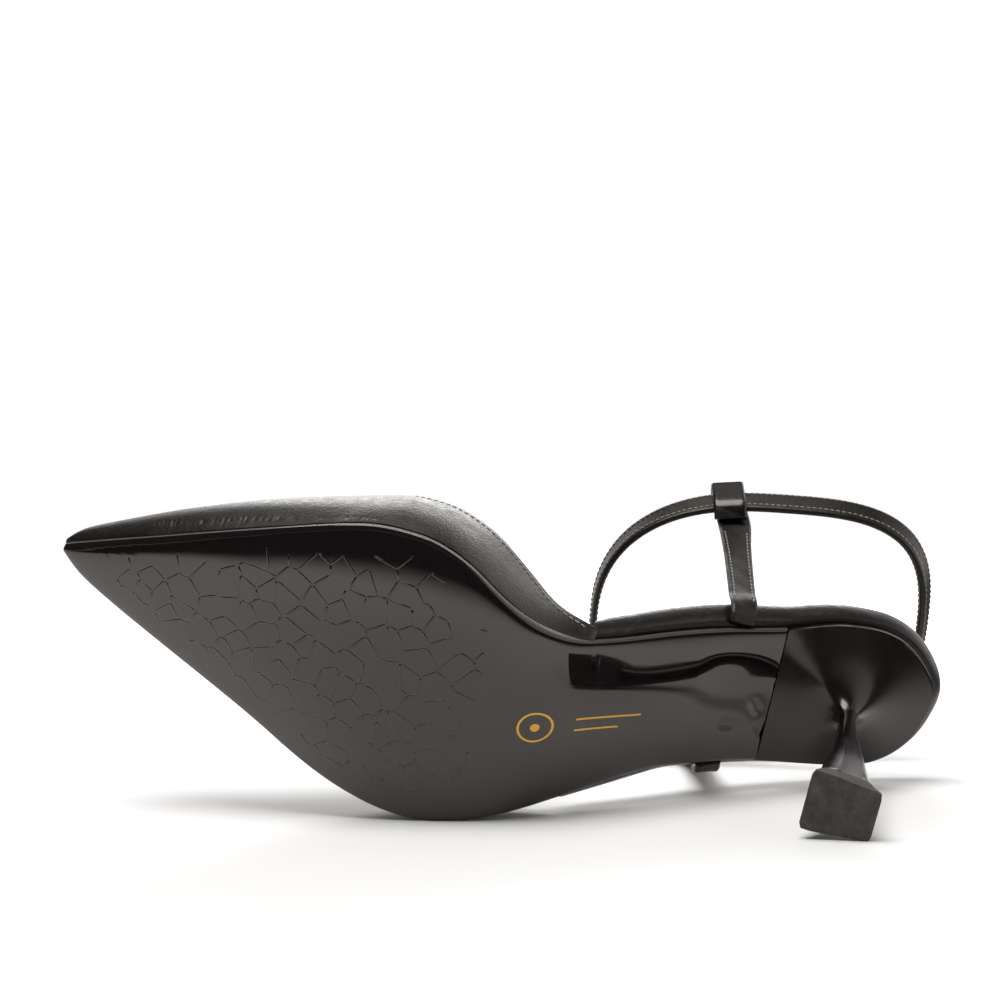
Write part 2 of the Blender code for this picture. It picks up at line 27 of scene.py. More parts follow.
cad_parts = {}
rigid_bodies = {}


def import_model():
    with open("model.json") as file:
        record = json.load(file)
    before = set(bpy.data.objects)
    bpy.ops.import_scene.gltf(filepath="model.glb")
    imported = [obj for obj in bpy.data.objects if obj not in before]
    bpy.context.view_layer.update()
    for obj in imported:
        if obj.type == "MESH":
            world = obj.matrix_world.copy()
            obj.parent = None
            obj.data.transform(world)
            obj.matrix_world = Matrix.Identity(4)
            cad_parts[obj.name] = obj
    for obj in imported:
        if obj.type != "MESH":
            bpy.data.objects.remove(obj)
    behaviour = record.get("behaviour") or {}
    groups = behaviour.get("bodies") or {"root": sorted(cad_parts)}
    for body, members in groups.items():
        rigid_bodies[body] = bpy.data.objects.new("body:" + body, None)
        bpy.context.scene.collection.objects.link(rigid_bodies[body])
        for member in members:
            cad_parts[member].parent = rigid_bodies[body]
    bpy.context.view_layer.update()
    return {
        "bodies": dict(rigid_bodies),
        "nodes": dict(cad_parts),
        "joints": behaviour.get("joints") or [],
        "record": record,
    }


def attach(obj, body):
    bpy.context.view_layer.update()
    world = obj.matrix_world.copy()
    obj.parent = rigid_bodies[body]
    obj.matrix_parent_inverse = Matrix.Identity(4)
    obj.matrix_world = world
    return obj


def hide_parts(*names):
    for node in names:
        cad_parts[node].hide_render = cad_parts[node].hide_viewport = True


MM = 0.001
BODY = "root"
UP = (0.0, 0.0, 1.0)
WHITE = (1.0, 1.0, 1.0, 1.0)
WELD_MM = 0.005
QUAD_FACE_DEG = 50.0
QUAD_SHAPE_DEG = 60.0
LEAST_CUT_POINTS = 8
# Blender's wave texture multiplies its coordinate by this number
WAVE_FACTOR = 20.0
Point = tuple[float, float, float]
Span = tuple[float, float]
Piece = bpy.types.Object
Socket = bpy.types.NodeSocket
Tree = bpy.types.NodeTree
log = logging.getLogger("pump")


class Slot(Enum):
    """Material slots of the record."""

    SOLE = "gloss_sole"
    LEATHER = "satin_leather"
    HEEL = "satin_heel"
    RUBBER = "matte_rubber"
    METAL = "buckle_metal"


class Side(Enum):
    """Sides of the foot."""

    MEDIAL = "medial"
    LATERAL = "lateral"


@dataclass(frozen=True)
class Lie:
    """How the shoe lies on the floor."""

    floor_up: Point = (0.262, 0.928, 0.265)
    origin_mm: Point = (114.078, -50.034, 1.877)

    def axes(self) -> np.ndarray:
        """World axes in the shoe frame.

        Returns:
            The three axes as rows.
        """
        up = np.array(self.floor_up) / np.linalg.norm(self.floor_up)
        depth = np.array(UP) - up * float(np.array(UP) @ up)
        depth /= np.linalg.norm(depth)
        return np.array((np.cross(depth, up), depth, up))

    def to_world(self, points: np.ndarray) -> np.ndarray:
        """Points of the shoe frame, in metres of the world frame."""
        return (np.asarray(points, float) @ self.axes().T + np.array(self.origin_mm)) * MM

    def to_shoe(self, points: np.ndarray) -> np.ndarray:
        """Points of the world frame, in millimetres of the shoe frame."""
        return (np.asarray(points, float) / MM - np.array(self.origin_mm)) @ self.axes()

    def turn(self, direction: np.ndarray) -> np.ndarray:
        """A direction of the shoe frame, in the world frame."""
        return np.asarray(direction, float) @ self.axes().T


LIE = Lie()


def linear(colour: str) -> tuple[float, float, float, float]:
    """An sRGB hex colour as linear values.

    Args:
        colour: Six hex digits after a hash sign.

    Returns:
        Red, green, blue and an alpha of one.
    """
    parts = [int(colour[k : k + 2], 16) / 255 for k in (1, 3, 5)]
    red, green, blue = (p / 12.92 if p <= 0.04045 else ((p + 0.055) / 1.055) ** 2.4 for p in parts)
    return red, green, blue, 1.0


def add_node(
    tree: Tree, kind: str, settings: dict | None = None, links: dict | None = None
) -> bpy.types.Node:
    """Add a node with its settings and links.

    Args:
        tree: Node tree that takes the node.
        kind: Blender's type name of the node.
        settings: Values by input name or number, or by the node's own property.
        links: Output sockets by the input that they feed.

    Returns:
        The new node.
    """
    made = tree.nodes.new(kind)
    for key, value in (settings or {}).items():
        if isinstance(key, int) or key in made.inputs:
            made.inputs[key].default_value = value
        else:
            setattr(made, key, value)
    for key, source in (links or {}).items():
        tree.links.new(source, made.inputs[key])
    return made


def ramp(tree: Tree, value: Socket, span: Span, levels: Span) -> Socket:
    """Soft step from one level to another.

    Args:
        tree: Node tree that takes the node.
        value: Socket with the value.
        span: Values where the step starts and ends.
        levels: Levels before and after it.

    Returns:
        The socket with the level.
    """
    settings = {1: span[0], 2: span[1], 3: levels[0], 4: levels[1]}
    settings["interpolation_type"] = "SMOOTHSTEP"
    return add_node(tree, "ShaderNodeMapRange", settings, {0: value}).outputs[0]


def combine(tree: Tree, operation: str, first: Socket, second: Socket) -> Socket:
    """Result of a math node on two sockets."""
    return add_node(tree, "ShaderNodeMath", {"operation": operation}, {0: first, 1: second}).outputs[0]


def per_mm(size_mm: float) -> float:
    """Texture scale that gives features of a real size on Object coordinates."""
    return 1.0 / (size_mm * MM)


@dataclass(frozen=True)
class Canvas:
    """A material under way: its node tree, its shader and Object coordinates in metres."""

    tree: Tree
    shader: bpy.types.Node
    place: Socket

    def feed(self, name: str, source: Socket) -> None:
        """Link a socket to an input of the shader."""
        self.tree.links.new(source, self.shader.inputs[name])

    def noise(self, size_mm: float, settings: dict) -> Socket:
        """Noise with features of a real size, and the node's other values."""
        values = {"Scale": per_mm(size_mm), **settings}
        return add_node(self.tree, "ShaderNodeTexNoise", values, {"Vector": self.place}).outputs["Fac"]

    def relief(
        self, height: Socket, depth_mm: float, below: Socket | None = None, sunk: bool = False
    ) -> Socket:
        """Normals of a fine relief.

        Args:
            height: Socket with the relief's height.
            depth_mm: Its depth.
            below: Normals of a coarser relief under it, if any.
            sunk: Whether high values lie deep.

        Returns:
            The socket with the normals.
        """
        links = {"Height": height} if below is None else {"Height": height, "Normal": below}
        values = {"Strength": 1.0, "Distance": depth_mm * MM, "invert": sunk}
        return add_node(self.tree, "ShaderNodeBump", values, links).outputs["Normal"]


@dataclass(frozen=True)
class Finish:
    """A plain finish, whose roughness may wander in patches."""

    name: str
    colour: str
    roughness: float
    metallic: float = 0.0
    ior: float = 1.5
    sheen: float = 0.0
    glint: str = "#fff4ef"
    patch_mm: float = 0.0
    patch_spread: float = 0.0

    def material(self) -> bpy.types.Material:
        """The finish's material, made once.

        Returns:
            A material with a Principled shader.
        """
        found = bpy.data.materials.get(self.name)
        if found is not None:
            return found
        made = bpy.data.materials.new(self.name)
        made.use_nodes = True
        tree = made.node_tree
        shader = tree.nodes["Principled BSDF"]
        values = {
            "Base Color": linear(self.colour),
            "Roughness": self.roughness,
            "Metallic": self.metallic,
            "IOR": self.ior,
            "Specular Tint": linear(self.glint),
            "Sheen Weight": self.sheen,
        }
        for name, value in values.items():
            shader.inputs[name].default_value = value
        canvas = Canvas(tree, shader, add_node(tree, "ShaderNodeTexCoord").outputs["Object"])
        if self.patch_mm:
            self.rough_patches(canvas)
        self.surface(canvas)
        return made

    def rough_patches(self, canvas: Canvas) -> None:
        """Let the roughness wander around its value.

        Args:
            canvas: The material under way.
        """
        patches = canvas.noise(self.patch_mm, {"Detail": 3.0, "Roughness": 0.6})
        low, high = self.roughness - self.patch_spread, self.roughness + self.patch_spread
        values = {1: 0.3, 2: 0.7, 3: low, 4: high}
        level = add_node(canvas.tree, "ShaderNodeMapRange", values, {0: patches})
        canvas.feed("Roughness", level.outputs[0])

    def surface(self, canvas: Canvas) -> None:
        """Link the finish's own texture. A plain finish has none."""


@dataclass(frozen=True)
class Skin(Finish):
    """A finish with one soft relief: waves of a sheet, the peel of a sprayed coat, or pits."""

    wave_mm: float = 26.0
    wave_depth_mm: float = 0.05
    detail: float = 1.0

    def surface(self, canvas: Canvas) -> None:
        """Link the relief."""
        wave = canvas.noise(self.wave_mm, {"Detail": self.detail})
        canvas.feed("Normal", canvas.relief(wave, self.wave_depth_mm))


@dataclass(frozen=True)
class GrainLeather(Finish):
    """Dyed and pressed calf: satin black with a fine pebble grain and faint pull lines."""

    patch_mm: float = 2.4
    patch_spread: float = 0.06
    # The real grain is finer and would not show in the render
    grain_mm: float = 0.7
    grain_depth_mm: float = 0.05
    pull_mm: float = 3.2
    pull_depth_mm: float = 0.05

    def surface(self, canvas: Canvas) -> None:
        """Pebbles with valleys between them, over longer lines where the hide was pulled.

        Args:
            canvas: The material under way.
        """
        values = {"feature": "SMOOTH_F1", "Scale": per_mm(self.grain_mm), "Smoothness": 0.4}
        pebble = add_node(canvas.tree, "ShaderNodeTexVoronoi", values, {"Vector": canvas.place})
        pull = canvas.noise(self.pull_mm, {"Detail": 4.0, "Distortion": 0.6})
        low = canvas.relief(pull, self.pull_depth_mm)
        fine = canvas.relief(pebble.outputs["Distance"], self.grain_depth_mm, low, sunk=True)
        canvas.feed("Normal", fine)


@dataclass(frozen=True)
class HatchLeather(GrainLeather):
    """Calf pressed with a fine slanting hatch."""

    hatch_mm: float = 0.75
    hatch_depth_mm: float = 0.07

    def surface(self, canvas: Canvas) -> None:
        """Slanting ribs over the grain.

        Args:
            canvas: The material under way.
        """
        super().surface(canvas)
        below = canvas.shader.inputs["Normal"].links[0].from_socket
        scale = per_mm(self.hatch_mm) / WAVE_FACTOR
        values = {"bands_direction": "DIAGONAL", "Scale": scale, "Distortion": 1.2}
        ribs = add_node(canvas.tree, "ShaderNodeTexWave", values, {"Vector": canvas.place})
        canvas.feed("Normal", canvas.relief(ribs.outputs["Fac"], self.hatch_depth_mm, below))


@dataclass(frozen=True)
class MouldedRubber(Skin):
    """Moulded rubber lift: dark grey, dull, with a fine pitted skin and dusty patches."""

    dust: str = "#4a4845"
    dust_mm: float = 4.0
    dust_span: Span = (0.4, 0.75)

    def surface(self, canvas: Canvas) -> None:
        """Pits all over, and dust that makes patches paler.

        Args:
            canvas: The material under way.
        """
        super().surface(canvas)
        patches = canvas.noise(self.dust_mm, {"Detail": 5.0, "Roughness": 0.7})
        tint = add_node(canvas.tree, "ShaderNodeValToRGB", None, {"Fac": patches})
        stops = zip(tint.color_ramp.elements, self.dust_span, (self.colour, self.dust))
        for stop, position, colour in stops:
            stop.position = position
            stop.color = linear(colour)
        canvas.feed("Base Color", tint.outputs["Color"])


# Lacquered leather: a black mirror whose images waver a little
SOLE_FINISH = Skin("lacquered_sole", "#0f0e0e", 0.05, ior=1.7, patch_mm=9.0, patch_spread=0.02)
# Cut and waxed leather round the sole: a dull brown line whose paleness is partly its own tone and
# partly painted highlight for the light the edge catches
EDGE_PAINTED_HIGHLIGHT_FINISH = Finish("sole_edge_painted_highlight", "#423d37", 0.5)
# Pressed calf: satin black with soft highlights
LEATHER_FINISH = GrainLeather("pressed_calf", "#12100f", 0.38, ior=1.52, glint="#fff3e4")
# The same calf pulled round the rim: deeper pull lines
RIM_FINISH = GrainLeather("rim_calf", "#110f0e", 0.36, ior=1.52, pull_depth_mm=0.09)
# Unpolished lining skin: dull and a little paler
LINING_FINISH = GrainLeather("lining_skin", "#2a2624", 0.55, grain_mm=0.5)
# Hatched calf: duller, with fine slanting ribs
STRAP_FINISH = HatchLeather("hatched_strap", "#0f0d0c", 0.44, ior=1.5)
# Polished calf: nearly smooth, with sharp highlights
LOOP_FINISH = GrainLeather("polished_loop", "#100e0d", 0.2, grain_depth_mm=0.01, pull_depth_mm=0.03)
# Lacquer sprayed on a moulded block: a soft mirror with a faint peel
HEEL_FINISH = Skin(
    "heel_lacquer",
    "#0d0c0b",
    0.2,
    ior=1.55,
    patch_mm=5.0,
    patch_spread=0.03,
    wave_mm=1.6,
    wave_depth_mm=0.006,
    detail=2.0,
)
# Moulded rubber: dull dark grey with pits and dust
LIFT_FINISH = MouldedRubber(
    "moulded_lift", "#2c2a29", 0.72, wave_mm=0.5, wave_depth_mm=0.06, detail=2.0
)
# Waxed thread coloured pale: painted highlight for the glints of a dark glossy thread, over the small
# real glints of its sheen
THREAD_PAINTED_GLINT_FINISH = Finish("thread_painted_glints", "#8a8278", 0.28, sheen=0.2)
# Nickel plate: a bright mirror, a little soft
BUCKLE_FINISH = Finish("nickel_plate", "#c9c6c0", 0.18, metallic=1.0)
# Gold foil pressed on: warm metal, a little rough
FOIL_FINISH = Finish("pressed_gold_foil", "#c79a45", 0.3, metallic=1.0, glint="#ffffff")


def only(piece: Piece) -> None:
    """Make one object the whole selection and the active one.

    Args:
        piece: The object.
    """
    bpy.ops.object.select_all(action="DESELECT")
    piece.select_set(True)
    bpy.context.view_layer.objects.active = piece


@contextmanager
def edit_mode(piece: Piece) -> Iterator[None]:
    """Edit mode on one piece, and object mode again afterwards.

    Args:
        piece: The piece, which stays selected and active.
    """
    only(piece)
    bpy.ops.object.mode_set(mode="EDIT")
    yield
    bpy.ops.object.mode_set(mode="OBJECT")


def lay_down() -> None:
    """Turn a new shape in edit mode from the z axis to the x axis."""
    bpy.ops.mesh.select_all(action="SELECT")
    bpy.ops.transform.rotate(value=math.pi / 2, orient_axis="Y", center_override=(0, 0, 0))


def new_piece(name: str, mesh: bpy.types.Mesh) -> Piece:
    """Link a new object at the origin.

    Args:
        name: The new piece's name.
        mesh: Its mesh.

    Returns:
        The new object.
    """
    piece = bpy.data.objects.new(name, mesh)
    bpy.context.scene.collection.objects.link(piece)
    return piece


def smooth_piece(name: str, verts: list, faces: list) -> Piece:
    """A new smooth piece from its points and faces.

    Args:
        name: The new piece's name.
        verts: Its points in metres.
        faces: Point numbers of each face.

    Returns:
        The new object.
    """
    mesh = bpy.data.meshes.new(name)
    mesh.from_pydata(verts, [], faces)
    piece = new_piece(name, mesh)
    only(piece)
    bpy.ops.object.shade_smooth()
    return piece


@dataclass(frozen=True)
class Polish:
    """How a solid is made finer: which edges stay crisp, and how fine it gets."""

    crisp_deg: float = 38.0
    crease: float = 0.72
    levels: int = 2


@dataclass(frozen=True)
class Assembly:
    frame: dict

    def merged(self, node: str, name: str) -> Piece:
        """A copy of a solid with its triangles joined up into quads.

        Args:
            node: The solid's node.
            name: The new piece's name.

        Returns:
            The new object, selected and active.
        """
        piece = new_piece(name, self.frame["nodes"][node].data.copy())
        piece.data.materials.clear()
        with edit_mode(piece):
            bpy.ops.mesh.select_all(action="SELECT")
            bpy.ops.mesh.remove_doubles(threshold=WELD_MM * MM)
            bpy.ops.mesh.customdata_custom_splitnormals_clear()
            bpy.ops.mesh.tris_convert_to_quads(
                face_threshold=math.radians(QUAD_FACE_DEG),
                shape_threshold=math.radians(QUAD_SHAPE_DEG),
            )
        return piece

    def refined(self, node: str, name: str, polish: Polish) -> Piece:
        """A finer, smoother copy of a solid.

        Args:
            node: The solid's node.
            name: The new piece's name.
            polish: Crisp edges and fineness.

        Returns:
            The new object with its modifier applied.
        """
        piece = self.merged(node, name)
        with edit_mode(piece):
            bpy.ops.mesh.select_mode(type="EDGE")
            bpy.ops.mesh.select_all(action="DESELECT")
            bpy.ops.mesh.edges_select_sharp(sharpness=math.radians(polish.crisp_deg))
            bpy.ops.transform.edge_crease(value=polish.crease)
        if polish.levels:
            finer = piece.modifiers.new("finer", "SUBSURF")
            finer.levels = finer.render_levels = polish.levels
            bpy.ops.object.modifier_apply(modifier=finer.name)
        bpy.ops.object.shade_smooth_by_angle(angle=math.radians(polish.crisp_deg))
        return piece


def two_tone(
    piece: Piece, finishes: tuple[Finish, Finish], second: Callable[[bpy.types.MeshPolygon], bool]
) -> None:
    """Give a piece two finishes.

    Args:
        piece: The piece.
        finishes: Its main finish and the other one.
        second: Whether a face takes the other one.
    """
    for finish in finishes:
        piece.data.materials.append(finish.material())
    for face in piece.data.polygons:
        face.material_index = int(second(face))


def settle(piece: Piece, finish: Finish, slot: Slot | None = None, *nodes: str) -> None:
    """Dress a piece and hand it to the frame.

    Args:
        piece: The finished mesh.
        finish: Its main finish.
        slot: Not used; the record's material slot, if it has one.
        nodes: Solids that the piece stands for.
    """
    if not piece.data.materials:
        piece.data.materials.append(finish.material())
    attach(piece, BODY)
    if nodes:
        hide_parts(*nodes)
    log.info("%s: %d faces, %s", piece.name, len(piece.data.polygons), finish.name)


def surface_of(piece: Piece) -> BVHTree:
    """Search tree of a piece's faces, for laying trim on it."""
    verts = [v.co.copy() for v in piece.data.vertices]
    return BVHTree.FromPolygons(verts, [tuple(p.vertices) for p in piece.data.polygons])


def read_points(piece: Piece, what: str = "co") -> np.ndarray:
    """Places or normals of a piece's points.

    Args:
        piece: The mesh.
        what: Blender's name of the values.

    Returns:
        An array of n x 3.
    """
    values = np.empty(3 * len(piece.data.vertices))
    piece.data.vertices.foreach_get(what, values)
    return values.reshape(-1, 3)


def write_points(piece: Piece, spots: np.ndarray) -> None:
    """Set the places of a piece's points."""
    piece.data.vertices.foreach_set("co", spots.ravel())
    piece.data.update()


def triangles_of(piece: Piece) -> np.ndarray:
    """Corner points of a piece's triangles, as an array of n x 3 x 3."""
    piece.data.calc_loop_triangles()
    return read_points(piece)[np.array([t.vertices for t in piece.data.loop_triangles], int)]


def resample(points: list[Vector], step: float) -> list[Vector]:
    """Points a step apart along a chain.

    Args:
        points: The chain.
        step: Distance between the new points, in metres.

    Returns:
        The new points.
    """
    chain = np.array(points, float)
    walked = np.r_[0.0, np.cumsum(np.linalg.norm(np.diff(chain, axis=0), axis=1))]
    places = np.arange(0.0, walked[-1], step)
    return [Vector([float(np.interp(s, walked, chain[:, k])) for k in range(3)]) for s in places]


@dataclass(frozen=True)
class Template:
    """Points and faces of a small shape that is repeated."""

    points: np.ndarray
    faces: tuple[tuple[int, ...], ...]

    @classmethod
    def take(cls, piece: Piece) -> Template:
        """Read a modelled object and remove it.

        Args:
            piece: The object.

        Returns:
            Its shape.
        """
        points = read_points(piece)
        faces = tuple(tuple(p.vertices) for p in piece.data.polygons)
        bpy.data.objects.remove(piece, do_unlink=True)
        return cls(points, faces)

    def repeat(self, name: str, places: list[Matrix]) -> Piece:
        """One joined mesh with a copy of the shape at each place.

        Args:
            name: The new piece's name.
            places: World matrices of the copies.

        Returns:
            The new object.
        """
        verts, faces = [], []
        for place in places:
            turn = np.array(place.to_3x3())
            first = len(verts)
            verts += (self.points @ turn.T + np.array(place.translation)).tolist()
            faces += [tuple(first + k for k in face) for face in self.faces]
        return smooth_piece(name, verts, faces)


def frame_on(point: Vector, ahead: Vector, out: Vector, scale: Point) -> Matrix:
    """Matrix of a copy on a surface.

    Args:
        point: Where it sits.
        ahead: Its long direction.
        out: The surface's outward direction.
        scale: Stretch along, across and out, in metres.

    Returns:
        A world matrix.
    """
    z = out.normalized()
    x = (ahead - z * ahead.dot(z)).normalized()
    y = z.cross(x)
    turn = Matrix((x * scale[0], y * scale[1], z * scale[2])).transposed()
    made = turn.to_4x4()
    made.translation = point
    return made


@dataclass(frozen=True)
class Stitching:
    """Lock stitches: short thread ends that dip into the leather at both ends."""

    pitch_mm: float = 1.8
    length_mm: float = 1.4
    thread_mm: float = 0.48
    proud_mm: float = 0.03
    reach_mm: float = 1.2

    def template(self) -> Template:
        """One stitch of unit size.

        Returns:
            A round bar with pinched ends.
        """
        bpy.ops.object.select_all(action="DESELECT")
        bpy.ops.mesh.primitive_uv_sphere_add(segments=8, ring_count=6, radius=0.5)
        stitch = bpy.context.object
        with edit_mode(stitch):
            lay_down()
        return Template.take(stitch)

    def place(self, surface: BVHTree, point: Vector, ahead: Vector) -> Matrix | None:
        """Place of one stitch on a surface.

        Args:
            surface: Search tree of the leather.
            point: A point close to the stitch.
            ahead: Direction of the row.

        Returns:
            The stitch's matrix, or None off the leather.
        """
        spot, out, _, gap = surface.find_nearest(point)
        if spot is None or gap > self.reach_mm * MM:
            return None
        size = (self.length_mm * MM, self.thread_mm * MM, self.thread_mm * MM)
        return frame_on(spot + out * self.proud_mm * MM, ahead, out, size)

    def row(self, surface: BVHTree, line: list[Vector]) -> list[Matrix]:
        """Places of the stitches of a row.

        Args:
            surface: Search tree of the leather.
            line: Points along the row.

        Returns:
            The stitches' matrices.
        """
        points = resample(line, self.pitch_mm * MM)
        found = [self.place(surface, a, b - a) for a, b in zip(points, points[1:])]
        return [place for place in found if place is not None]

    def sew(self, name: str, places: list[Matrix]) -> None:
        """Make the stitches of a piece and dress them."""
        # The thread's pale colour is painted highlight for the glints of dark glossy thread
        settle(self.template().repeat(name, places), THREAD_PAINTED_GLINT_FINISH, Slot.LEATHER)


STITCHING = Stitching()


@dataclass(frozen=True)
class Section:
    """Cut through a band: its middle, the way across it and its thickness direction."""

    middle: np.ndarray
    across: np.ndarray
    out: np.ndarray
    width: float
    thick: float


def cut_band(
    triangles: np.ndarray, origin: np.ndarray, normal: np.ndarray, side: np.ndarray | None
) -> Section | None:
    """Cut a band with a plane.

    Args:
        triangles: Corner points of the band.
        origin: A point on the plane.
        normal: The plane's normal.
        side: If given, only what lies this way from the origin counts.

    Returns:
        The section, or None if the plane misses the band.
    """
    height = (triangles - origin) @ normal
    points = []
    for a, b in ((0, 1), (1, 2), (2, 0)):
        crossed = (height[:, a] > 0) != (height[:, b] > 0)
        share = height[crossed, a] / (height[crossed, a] - height[crossed, b])
        way = triangles[crossed, b] - triangles[crossed, a]
        points.append(triangles[crossed, a] + way * share[:, None])
    points = np.vstack(points)
    if side is not None:
        points = points[(points - origin) @ side > 0]
    if len(points) < LEAST_CUT_POINTS:
        return None
    centred = points - points.mean(axis=0)
    _, _, ways = np.linalg.svd(centred, full_matrices=False)
    reach = centred @ ways.T
    middle = points.mean(axis=0) + 0.5 * (reach.min(axis=0) + reach.max(axis=0)) @ ways
    span = reach.max(axis=0) - reach.min(axis=0)
    return Section(middle, ways[0], np.cross(normal, ways[0]), float(span[0]), float(span[1]))


class Underside:
    """Looks up places on the underside of the sole from their plan."""

    start_z: float = -8.0
    reach_mm: float = 70.0
    turns: int = 8

    def __init__(self, sole: Piece) -> None:
        """Keep the search tree of the sole's skin."""
        self.surface = surface_of(sole)
        self.up = Vector(LIE.turn(UP))

    def at(self, plan: np.ndarray) -> tuple[Vector | None, Vector | None]:
        """Spot and outward direction under a place of the plan.

        Args:
            plan: The place's x and y.

        Returns:
            Both in the world frame, or None beside the sole.
        """
        start = Vector(LIE.to_world((plan[0], plan[1], self.start_z)))
        spot, out, _, _ = self.surface.ray_cast(start, self.up, self.reach_mm * MM)
        return spot, out

    def covers(self, plan: np.ndarray, margin: float) -> bool:
        """Whether the sole reaches a margin beyond a place all round.

        Args:
            plan: The place's x and y.
            margin: The margin in millimetres.

        Returns:
            True where it does.
        """
        turns = np.linspace(0.0, 2 * math.pi, self.turns + 1)[:-1]
        ring = [plan + margin * np.array((math.cos(t), math.sin(t))) for t in turns]
        return all(self.at(place)[0] is not None for place in ring)


@dataclass(frozen=True)
class Crackle:
    """Crackle emboss of the forepart: thin broken ridges between uneven cells."""

    cell_mm: float = 6.8
    row_share: float = 0.87
    jitter: float = 0.4
    kept: float = 0.9
    shortest_mm: float = 1.2
    longest_cells: float = 2.0
    fade_x: Span = (112.0, 134.0)
    reach_x: Span = (104.0, 232.0)
    reach_y: Span = (-52.0, 56.0)
    inset_mm: float = 6.5
    width_mm: float = 0.62
    height_mm: float = 0.2
    filled: float = 0.95
    bar_share: float = 0.84
    tip_share: float = 0.08
    tip_width: float = 0.3
    seed: int = 11

    def template(self) -> Template:
        """One ridge of unit size.

        Returns:
            A flat round bar with tapered ends.
        """
        bpy.ops.object.select_all(action="DESELECT")
        bpy.ops.mesh.primitive_cylinder_add(
            vertices=8, radius=0.5, depth=self.bar_share, end_fill_type="NGON"
        )
        ridge = bpy.context.object
        with edit_mode(ridge):
            lay_down()
            for end in (-1, 1):
                bpy.ops.mesh.select_all(action="DESELECT")
                shape = bmesh.from_edit_mesh(ridge.data)
                for face in shape.faces:
                    face.select = face.normal.x * end > 0.9
                bmesh.update_edit_mesh(ridge.data)
                step = {"value": (self.tip_share * end, 0, 0)}
                bpy.ops.mesh.extrude_region_move(TRANSFORM_OT_translate=step)
                narrow = (1.0, self.tip_width, self.tip_width)
                bpy.ops.transform.resize(value=narrow, center_override=(0.5 * end, 0, 0))
        return Template.take(ridge)

    def cells(self, draw: random.Random) -> list[Vector]:
        """Middles of the cells in plan.

        Args:
            draw: Gives each cell its shake.

        Returns:
            The middles, row by row.
        """
        made = []
        for row, x in enumerate(np.arange(*self.reach_x, self.row_share * self.cell_mm)):
            for y in np.arange(*self.reach_y, self.cell_mm):
                shake = [draw.uniform(-1, 1) * self.jitter * self.cell_mm for _ in range(2)]
                made.append(Vector((x + shake[0], y + 0.5 * self.cell_mm * (row % 2) + shake[1])))
        return made

    def lines(self) -> list[tuple[np.ndarray, np.ndarray]]:
        """Borders between the cells in plan, before the sole's outline cuts them.

        Returns:
            The two ends of each border.
        """
        draw = random.Random(self.seed)
        points, _, faces, _, _, _ = delaunay_2d_cdt(self.cells(draw), [], [], 0, 0.001)
        centres, beside = [], {}
        for number, face in enumerate(faces):
            a, b, c = (np.array(points[k]) for k in face)
            sides = np.array((b - a, c - a))
            centres.append(a + np.linalg.solve(sides, 0.5 * (sides**2).sum(axis=1)))
            for k in range(3):
                beside.setdefault(frozenset((face[k - 1], face[k])), []).append(number)
        found = []
        longest = self.longest_cells * self.cell_mm
        for pair in beside.values():
            if len(pair) < 2:
                continue
            a, b = centres[pair[0]], centres[pair[1]]
            near = np.interp(0.5 * (a[0] + b[0]), self.fade_x, (0.0, self.kept))
            if self.shortest_mm < np.linalg.norm(b - a) < longest and draw.random() < near:
                found.append((a, b))
        return found

    def build(self, sole: Piece) -> Piece:
        """Lay the ridges on the underside of the sole.

        Args:
            sole: The sole's skin.

        Returns:
            The ridges as one piece.
        """
        ground = Underside(sole)
        places = []
        for a, b in self.lines():
            middle = 0.5 * (a + b)
            if not ground.covers(middle, self.inset_mm):
                continue
            (first, _), (last, _), (_, out) = ground.at(a), ground.at(b), ground.at(middle)
            if first is None or last is None:
                continue
            size = (self.filled * (last - first).length, self.width_mm * MM, self.height_mm * MM)
            places.append(frame_on(0.5 * (first + last), last - first, out, size))
        return self.template().repeat("crackle_emboss", places)


@dataclass(frozen=True)
class FoilMark:
    """Plain foil ornament at the waist: a ring round a dot, and two rules beside it."""

    centre: Span = (101.5, -5.0)
    ring_mm: float = 4.3
    dot_mm: float = 1.1
    hole_mm: float = 0.05
    line_mm: float = 0.55
    rules: tuple[Point, ...] = ((-9.0, 1.6, 15.0), (-9.0, -1.6, 10.0))
    ring_steps: int = 65
    rule_steps: int = 25
    proud_mm: float = 0.03

    def bars(self) -> list[list[list[Span]]]:
        """Both edges of each line of the ornament, from its centre.

        Returns:
            A list of pairs of places for each line.
        """
        made = []
        turns = np.linspace(0.0, 2 * math.pi, self.ring_steps)
        rings = ((self.ring_mm - self.line_mm, self.ring_mm), (self.hole_mm, self.dot_mm))
        for radii in rings:
            made.append([[(r * math.cos(t), r * math.sin(t)) for r in radii] for t in turns])
        half = 0.5 * self.line_mm
        for x, y, length in self.rules:
            steps = np.linspace(x, x - length, self.rule_steps)
            made.append([[(u, y - half), (u, y + half)] for u in steps])
        return made

    def build(self, sole: Piece) -> Piece:
        """Lay the foil on the sole.

        Args:
            sole: The sole's skin.

        Returns:
            The ornament as one piece.
        """
        ground = Underside(sole)
        verts, faces = [], []
        for bar in self.bars():
            first = len(verts)
            for pair in bar:
                for place in pair:
                    spot, out = ground.at(np.array(self.centre) + place)
                    verts.append(tuple(spot + out * self.proud_mm * MM))
            for k in range(first, len(verts) - 2, 2):
                faces.append((k, k + 1, k + 3, k + 2))
        return smooth_piece("foil_mark", verts, faces)


@dataclass(frozen=True)
class Crease:
    """Soft trough pressed along a line, or a ridge where the depth is below zero."""

    start: Point
    end: Point
    width_mm: float
    depth_mm: float
    tapered: bool = True


